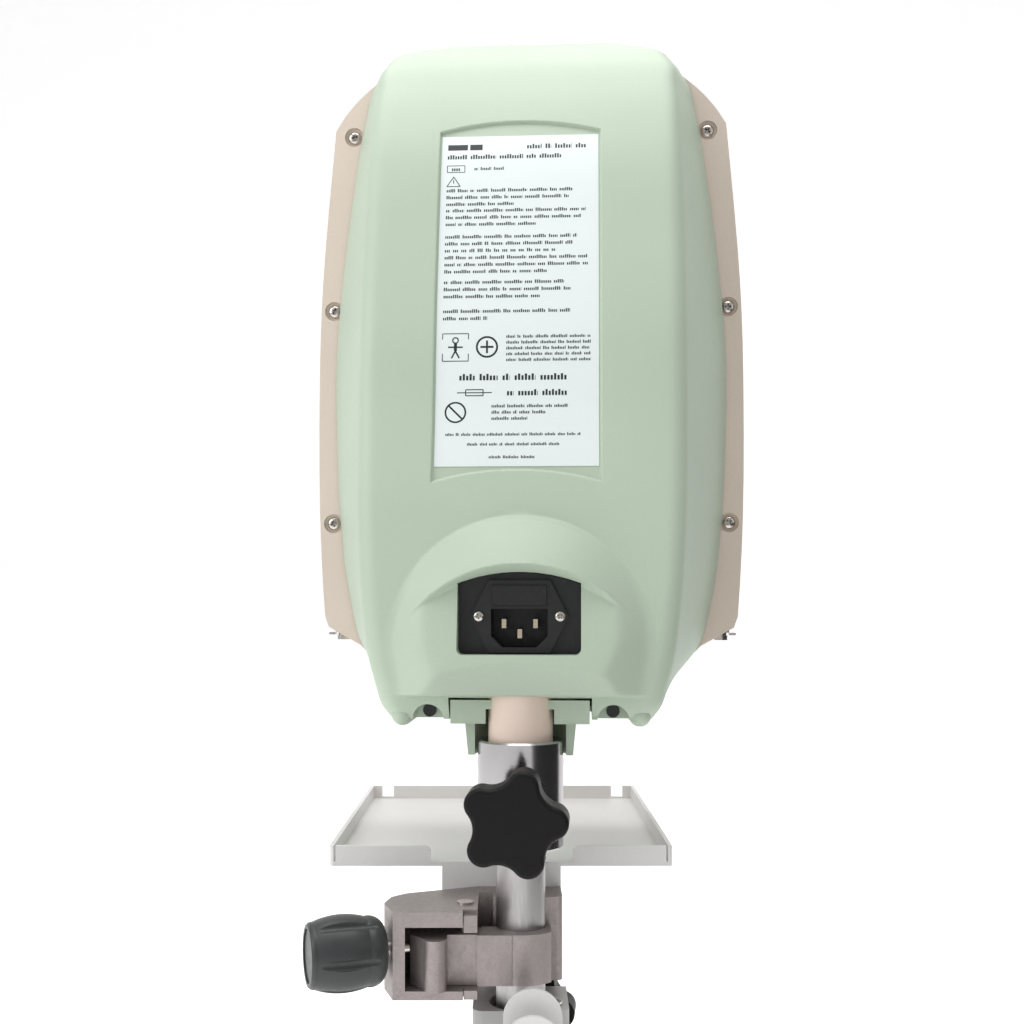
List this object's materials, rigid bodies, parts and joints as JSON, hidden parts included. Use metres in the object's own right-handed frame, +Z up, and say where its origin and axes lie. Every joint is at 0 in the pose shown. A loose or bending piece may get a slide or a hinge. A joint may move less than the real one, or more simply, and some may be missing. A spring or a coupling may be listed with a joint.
{
  "type": "pole-mounted medical pump",
  "caption": "Pneumatic pump head on a swivelling post and pole, with rear mains inlet, accessory tray, pole clamp and locking knobs",
  "frame": {"origin": "lower end of the pole, on its axis", "axes": "+Z up along the pole, -Y towards the side with the mains inlet, +Y towards the display side, +X to the right seen from the inlet side"},
  "size_m": [0.2221, 0.27, 0.5628],
  "materials": {
    "green_plastic": "fine-grained moulded, pale green",
    "beige_plastic": "fine-grained moulded, warm grey beige",
    "black_plastic": "black moulded, light sheen",
    "knob_black": "black moulded, satin",
    "knob_grey": "dark grey moulded, satin",
    "label_film": "pale printed film, satin",
    "turned_aluminium": "turned and polished",
    "pole_aluminium": "brushed, lightly scratched",
    "post_paint": "cream enamel",
    "tray_paint": "light grey powder coat",
    "clamp_cast": "blasted casting",
    "bracket_paint": "light grey powder coat on a casting",
    "screw_steel": "nickel-plated",
    "black_oxide": "black oxide",
    "contact_brass": "plated",
    "fuse_glass": "clear with metal caps",
    "window_glass": "tinted window",
    "display_face": "display module",
    "key_rubber": "moulded silicone",
    "board_laminate": "green circuit laminate",
    "sheet_steel": "zinc-plated sheet",
    "battery_wrap": "shrink wrap",
    "pump_metal": "motor can and cast head",
    "rotor_steel": "laminations",
    "tube_silicone": "clear silicone"
  },
  "bodies": {
    "stand": {"pole": "pole_aluminium", "collar": "turned_aluminium", "collar_set_screws": "screw_steel", "tray": "tray_paint", "clamp_body": "clamp_cast", "pivot_pin": "screw_steel", "lower_bracket": "bracket_paint", "hose_hook": "tray_paint", "stand_screws": "screw_steel"},
    "star_stud": {"star_stud": "screw_steel"},
    "star_knob": {"star_knob": "knob_black"},
    "lower_stud": {"lower_stud": "screw_steel"},
    "lower_star_knob": {"lower_star_knob": "knob_black"},
    "clamp_screw": {"clamp_screw": "screw_steel"},
    "clamp_jaw": {"clamp_jaw": "clamp_cast"},
    "left_port_latch": {"left_port_latch": "screw_steel"},
    "right_port_latch": {"right_port_latch": "screw_steel"},
    "left_pump_rotor": {"left_pump_rotor": "rotor_steel"},
    "right_pump_rotor": {"right_pump_rotor": "rotor_steel"},
    "left_deflate_key": {"left_deflate_key": "key_rubber"},
    "left_down_key": {"left_down_key": "key_rubber"},
    "left_inflate_key": {"left_inflate_key": "key_rubber"},
    "left_up_key": {"left_up_key": "key_rubber"},
    "power_key": {"power_key": "key_rubber"},
    "right_deflate_key": {"right_deflate_key": "key_rubber"},
    "right_down_key": {"right_down_key": "key_rubber"},
    "right_inflate_key": {"right_inflate_key": "key_rubber"},
    "right_up_key": {"right_up_key": "key_rubber"},
    "clamp_knob": {"clamp_knob": "knob_grey", "clamp_knob_cap": "knob_grey"},
    "fuse_drawer": {"fuse_drawer": "black_plastic", "fuses": "fuse_glass"},
    "head": {"air_tubes": "tube_silicone", "base_block": "green_plastic", "base_screws": "black_oxide", "battery_pack": "battery_wrap", "chassis_plate": "sheet_steel", "display_modules": "display_face", "display_windows": "window_glass", "front_bezel": "beige_plastic", "front_housing": "beige_plastic", "housing_screws": "screw_steel", "inlet_contacts": "contact_brass", "inlet_housing": "black_plastic", "inlet_panel": "black_plastic", "inlet_screws": "screw_steel", "key_board": "board_laminate", "left_air_pump": "pump_metal", "left_hose_port": "screw_steel", "main_board": "board_laminate", "neck_shroud": "green_plastic", "post": "post_paint", "power_supply": "sheet_steel", "rating_label": "label_film", "rear_shell": "green_plastic", "right_air_pump": "pump_metal", "right_hose_port": "screw_steel", "speaker": "black_plastic", "valve_coils": "black_plastic", "valve_manifold": "pump_metal"}
  },
  "joints": [
    {"name": "head_swivel", "type": "hinge", "parent": "stand", "child": "head", "pos_m": [0, 0, 0.2], "axis": [0, 0, 1], "continuous": true},
    {"name": "star_slide", "type": "slide", "parent": "stand", "child": "star_stud", "axis": [-0.0105, -0.9999, 0], "range_m": [0, 0.005]},
    {"name": "star_turn", "type": "hinge", "parent": "star_stud", "child": "star_knob", "pos_m": [0, 0, 0.183], "axis": [-0.0105, -0.9999, 0], "range_deg": [0, 1441]},
    {"name": "clamp_slide", "type": "slide", "parent": "stand", "child": "clamp_screw", "axis": [-0.9342, -0.3567, 0], "range_m": [0, 0.006]},
    {"name": "clamp_turn", "type": "hinge", "parent": "clamp_screw", "child": "clamp_knob", "pos_m": [-0.05643, -0.02138, 0.1233], "axis": [-0.9342, -0.3567, 0], "range_deg": [0, 1729]},
    {"name": "jaw_swing", "type": "hinge", "parent": "stand", "child": "clamp_jaw", "pos_m": [-0.02408, -0.00945, 0.121], "axis": [0, 0, -1], "range_deg": [0, 25.1]},
    {"name": "lower_star_slide", "type": "slide", "parent": "stand", "child": "lower_stud", "axis": [0.0401, 0.9992, 0], "range_m": [0, 0.00375]},
    {"name": "lower_star_turn", "type": "hinge", "parent": "lower_stud", "child": "lower_star_knob", "pos_m": [0, 0, 0.082], "axis": [0.0401, 0.9992, 0], "range_deg": [0, 1081]},
    {"name": "fuse_drawer_slide", "type": "slide", "parent": "head", "child": "fuse_drawer", "axis": [0, -1, 0], "range_m": [0, 0.015]},
    {"name": "left_latch_press", "type": "slide", "parent": "head", "child": "left_port_latch", "axis": [-1, 0, 0], "range_m": [0, 0.0008], "stiffness_N_per_m": 500},
    {"name": "right_latch_press", "type": "slide", "parent": "head", "child": "right_port_latch", "axis": [1, 0, 0], "range_m": [0, 0.0008], "stiffness_N_per_m": 500},
    {"name": "left_rotor_spin", "type": "hinge", "parent": "head", "child": "left_pump_rotor", "pos_m": [0.033, 0.081, 0.3], "axis": [0, 0, 1], "continuous": true},
    {"name": "right_rotor_spin", "type": "hinge", "parent": "head", "child": "right_pump_rotor", "pos_m": [-0.033, 0.081, 0.3], "axis": [0, 0, 1], "continuous": true},
    {"name": "left_deflate_press", "type": "slide", "parent": "head", "child": "left_deflate_key", "axis": [0, -1, 0], "range_m": [0, 0.0008], "stiffness_N_per_m": 600},
    {"name": "left_down_press", "type": "slide", "parent": "head", "child": "left_down_key", "axis": [0, -1, 0], "range_m": [0, 0.0008], "stiffness_N_per_m": 600},
    {"name": "left_inflate_press", "type": "slide", "parent": "head", "child": "left_inflate_key", "axis": [0, -1, 0], "range_m": [0, 0.0008], "stiffness_N_per_m": 600},
    {"name": "left_up_press", "type": "slide", "parent": "head", "child": "left_up_key", "axis": [0, -1, 0], "range_m": [0, 0.0008], "stiffness_N_per_m": 600},
    {"name": "power_press", "type": "slide", "parent": "head", "child": "power_key", "axis": [0, -1, 0], "range_m": [0, 0.0008], "stiffness_N_per_m": 600},
    {"name": "right_deflate_press", "type": "slide", "parent": "head", "child": "right_deflate_key", "axis": [0, -1, 0], "range_m": [0, 0.0008], "stiffness_N_per_m": 600},
    {"name": "right_down_press", "type": "slide", "parent": "head", "child": "right_down_key", "axis": [0, -1, 0], "range_m": [0, 0.0008], "stiffness_N_per_m": 600},
    {"name": "right_inflate_press", "type": "slide", "parent": "head", "child": "right_inflate_key", "axis": [0, -1, 0], "range_m": [0, 0.0008], "stiffness_N_per_m": 600},
    {"name": "right_up_press", "type": "slide", "parent": "head", "child": "right_up_key", "axis": [0, -1, 0], "range_m": [0, 0.0008], "stiffness_N_per_m": 600}
  ],
  "couplings": [
    {"joint": "star_turn", "follows": "star_slide", "rad_per_m": 5026.5},
    {"joint": "clamp_turn", "follows": "clamp_slide", "rad_per_m": 5026.5},
    {"joint": "jaw_swing", "follows": "clamp_slide", "rad_per_m": 72.867},
    {"joint": "lower_star_turn", "follows": "lower_star_slide", "rad_per_m": 5026.5}
  ]
}
